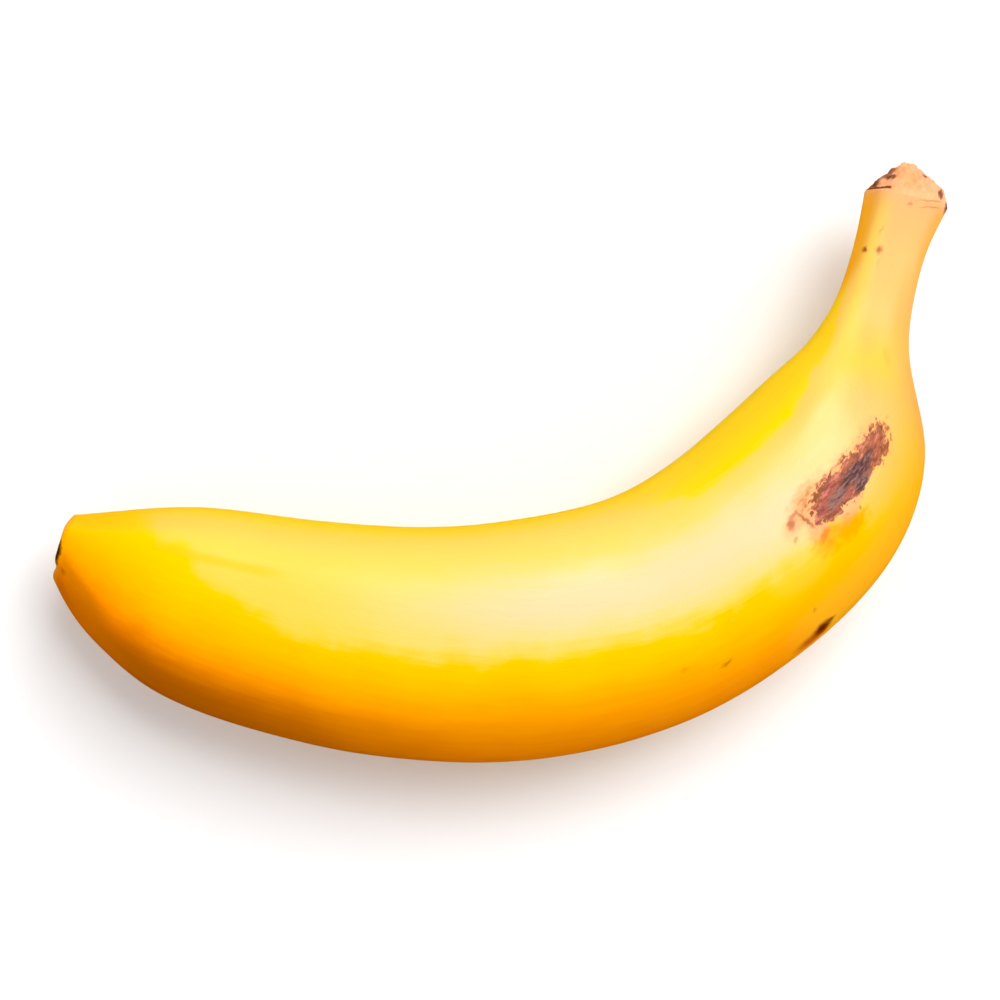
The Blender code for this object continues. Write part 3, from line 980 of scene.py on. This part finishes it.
# Short dark lines across the stem near its rim: middle (along, inwards, up), size and turn.
FISSURE_RED = (0.55, 0.16, 0.05)
FISSURES = (
    ((179.3, -3.2, 5.0), (0.14, 2.2, 3.0), 11.0),
    ((178.2, -3.4, 5.0), (0.12, 2.0, 3.0), 14.0),
    ((178.0, 0.0, 5.8), (0.35, 0.35, 2.0), 30.0),
)
FISSURE_FADE = (1.5, 0.5, 0.65)
# Their waves: size and reach in millimetres, and the noise's detail.
FISSURE_WAVES = (1.2, 0.14, 0.0)
# The fold below the torn tissue is a slanting dark line: its height above the rim at a given place inwards,
# its rise for each millimetre outwards, and its fades across, inwards, along the fruit and by height.
FOLD_RED = (0.17, 0.022, 0.003)
FOLD_INWARD = 7.0
FOLD_HEIGHT = 0.15
FOLD_SLOPE = 0.12
FOLD_FADE = (0.34, 0.10, 0.95)
FOLD_FROM = (3.4, 3.8)
FOLD_ALONG = (179.4, 179.6)
FOLD_ABOVE = (-1.0, 1.0)
# Low relief of the stump: a fade by height above the rim, to its height in millimetres.
TORN_RELIEF = (0.2, 1.5, 0.25)


def torn_stump(skin):
    """The stump's torn tissue: pinkish tan, dark where it has dried, with fissures below its rim."""
    nodes = skin.nodes
    waves = nodes.swing(nodes.noise(skin.straight, TORN_WAVE_SIZE), TORN_WAVE_REACH)
    ragged = nodes.plus(skin.along, waves)
    skin.paint(nodes.smooth(ragged, *TORN_FADE), nodes.ramp(skin.rough, TORN_TONES), TORN_ROUGHNESS)
    skin.paint(nodes.smooth(nodes.away(skin.straight, *ORANGE_TOP), *ORANGE_TOP_FADE), TORN_ORANGE)
    above_neck = nodes.smooth(skin.along, *NECK_TOP)
    spots = nodes.smooth(nodes.nearest(skin.frayed, TORN_SPOTS), *TORN_SPOT_FADE)
    skin.paint(nodes.times(spots, above_neck), TORN_DARK, DRY_ROUGHNESS)
    fringe = nodes.times(nodes.smooth(skin.up, *FRINGE_BELOW), nodes.smooth(skin.inward, *FRINGE_INWARD),
                         nodes.smooth(ragged, *FRINGE_ALONG))
    skin.paint(fringe, FRINGE_MAROON, DRY_ROUGHNESS)
    wavy = nodes.wobbled(skin.straight, *FISSURE_WAVES)
    fissures = nodes.smooth(nodes.nearest(wavy, FISSURES), *FISSURE_FADE)
    skin.paint(nodes.times(fissures, above_neck), FISSURE_RED, TAN_ROUGHNESS)
    line = nodes.math("MULTIPLY_ADD", skin.inward, -FOLD_SLOPE, FOLD_HEIGHT + FOLD_INWARD * FOLD_SLOPE)
    off = nodes.apart(skin.stump, line)
    fold = nodes.times(nodes.smooth(off, *FOLD_FADE), nodes.smooth(skin.inward, *FOLD_FROM),
                       nodes.smooth(skin.along, *FOLD_ALONG), nodes.smooth(skin.up, *FOLD_ABOVE))
    skin.paint(fold, FOLD_RED, DRY_ROUGHNESS)
    skin.lift(nodes.times(nodes.smooth(skin.stump, *TORN_RELIEF), nodes.minus(skin.rough, 0.5)))


# Pores: the noise's size in millimetres and its detail. The heights are in millimetres too.
PORES = (0.35, 0.0)
PORE_HEIGHT = 0.012
STREAK_HEIGHT = 0.05
STREAK_ROUGHNESS = 0.15


def fine_texture(skin):
    """The peel's fine fibres and pores."""
    nodes = skin.nodes
    skin.lift(nodes.swing(skin.streaks, STREAK_HEIGHT))
    skin.lift(nodes.swing(nodes.noise(skin.straight, *PORES), PORE_HEIGHT))
    skin.roughness = nodes.plus(skin.roughness, nodes.swing(skin.streaks, STREAK_ROUGHNESS))


PEEL_SPECULAR = 0.6


def peel_material():
    """The peel's material, laid on in layers."""
    nodes = Nodes("banana_peel")
    skin = Skin(nodes)
    ripe_peel_and_shade(skin)
    pale_wax_and_highlight(skin)
    strip_and_shoulder(skin)
    neck(skin)
    ridge_shade(skin)
    bruise(skin)
    marks(skin)
    flower_end(skin)
    torn_stump(skin)
    fine_texture(skin)
    bump = nodes.new("ShaderNodeBump", {"Height": skin.height, "Distance": MM, "Strength": 1.0})
    nodes.put(nodes.shader.inputs["Base Color"], skin.colour)
    nodes.put(nodes.shader.inputs["Roughness"], skin.roughness)
    nodes.put(nodes.shader.inputs["Normal"], bump.outputs["Normal"])
    nodes.shader.inputs["Specular IOR Level"].default_value = PEEL_SPECULAR
    return nodes.material


def new_object(name, data):
    """A new object in the scene."""
    item = bpy.data.objects.new(name, data)
    bpy.context.scene.collection.objects.link(item)
    return item


# The floor, in metres: its width, and how far it lies below the fruit.
FLOOR_WIDTH = 6.0
FLOOR_DROP = 0.0002
FLOOR_GREY = (0.80, 0.80, 0.80)
FLOOR_ROUGHNESS = 0.9


def floor_material():
    """Plain pale grey, without gloss."""
    nodes = Nodes("floor")
    nodes.put(nodes.shader.inputs["Base Color"], FLOOR_GREY)
    nodes.put(nodes.shader.inputs["Roughness"], FLOOR_ROUGHNESS)
    nodes.put(nodes.shader.inputs["Specular IOR Level"], 0.0)
    return nodes.material


def add_floor():
    """A wide floor for the stage."""
    bpy.ops.mesh.primitive_plane_add(size=FLOOR_WIDTH, location=(0, 0, -FLOOR_DROP))
    floor = bpy.context.object
    floor.name = "floor"
    floor.visible_glossy = False
    floor.data.materials.append(floor_material())


# How far off the softboxes stand, in metres, and how wide the dome of light is, in degrees.
LIGHT_DISTANCE = 8.0
DOME_WIDTH = 160.0


def add_box(name, tilt, azimuth, width, radiance, glossy=True):
    """A square softbox aimed at the fruit, with its tilt from upright, azimuth and width in degrees."""
    light = bpy.data.lights.new(name, "AREA")
    light.size = 2 * LIGHT_DISTANCE * math.tan(math.radians(width / 2))
    light.energy = radiance * math.pi * light.size ** 2
    light.cycles.use_multiple_importance_sampling = glossy
    tilt = math.radians(tilt)
    azimuth = math.radians(azimuth)
    level = Vector((math.cos(azimuth), math.sin(azimuth), 0))
    way = level * math.sin(tilt) + Vector((0, 0, math.cos(tilt)))
    item = new_object(name, light)
    item.location = way * LIGHT_DISTANCE
    item.rotation_euler = way.to_track_quat("Z", "Y").to_euler()
    item.visible_glossy = glossy
    item.visible_camera = False


def add_dome(radiance):
    """Even light from the whole sky, without a reflection of its own."""
    light = bpy.data.lights.new("dome", "SUN")
    light.angle = math.radians(DOME_WIDTH)
    light.energy = radiance * math.pi
    light.cycles.use_multiple_importance_sampling = False
    new_object("dome", light).visible_glossy = False


def add_backdrop():
    """A pale world that only the camera sees, past the floor's edge."""
    world = bpy.data.worlds.new("backdrop")
    bpy.context.scene.world = world
    world.use_nodes = True
    background = world.node_tree.nodes["Background"]
    background.inputs["Color"].default_value = (1, 1, 1, 1)
    world.cycles_visibility.diffuse = False
    world.cycles_visibility.glossy = False


# Where the photograph's centre lies in the coordinates of SECTIONS, how many millimetres it shows and at
# which height, and the camera's lens and sensor in millimetres.
VIEW_CENTRE = (0.16, -5.92)
VIEW_WIDTH = 160.0
VIEW_LEVEL = 16.5
LENS = 85.0
SENSOR = 36.0
# The nearest that the camera sees, in metres.
CLIP_START = 0.01


def add_camera(middle):
    """A camera straight above, framed as the photograph is."""
    camera = bpy.data.cameras.new("camera")
    camera.lens = LENS
    camera.sensor_width = SENSOR
    camera.clip_start = CLIP_START
    item = new_object("camera", camera)
    distance = VIEW_WIDTH * LENS / SENSOR
    item.location = (
        (VIEW_CENTRE[0] - middle[0]) * MM,
        (VIEW_CENTRE[1] - middle[1]) * MM,
        (VIEW_LEVEL - FLAT_DIP + distance) * MM,
    )
    bpy.context.scene.camera = item


# The weakest light that still shows, in red, green and blue.
BLACK_LEVEL = (0.018, 0.018, 0.029)


def set_tones():
    """Plain display colours, with the weakest light taken to black as in the photograph."""
    settings = bpy.context.scene.view_settings
    settings.view_transform = "Standard"
    settings.use_curve_mapping = True
    settings.curve_mapping.black_level = BLACK_LEVEL
    settings.curve_mapping.update()


mesh, middle = banana_mesh()
banana = new_object("banana_peel", mesh)
mesh.materials.append(peel_material())
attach(banana, "root")
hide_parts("banana")

add_floor()
add_box("key", tilt=38, azimuth=50, width=37, radiance=7.3)
add_box("right_fill", tilt=72, azimuth=-40, width=35, radiance=2.0, glossy=False)
add_box("left_fill", tilt=70, azimuth=162, width=35, radiance=1.7, glossy=False)
add_dome(radiance=0.62)
add_backdrop()
add_camera(middle)
set_tones()
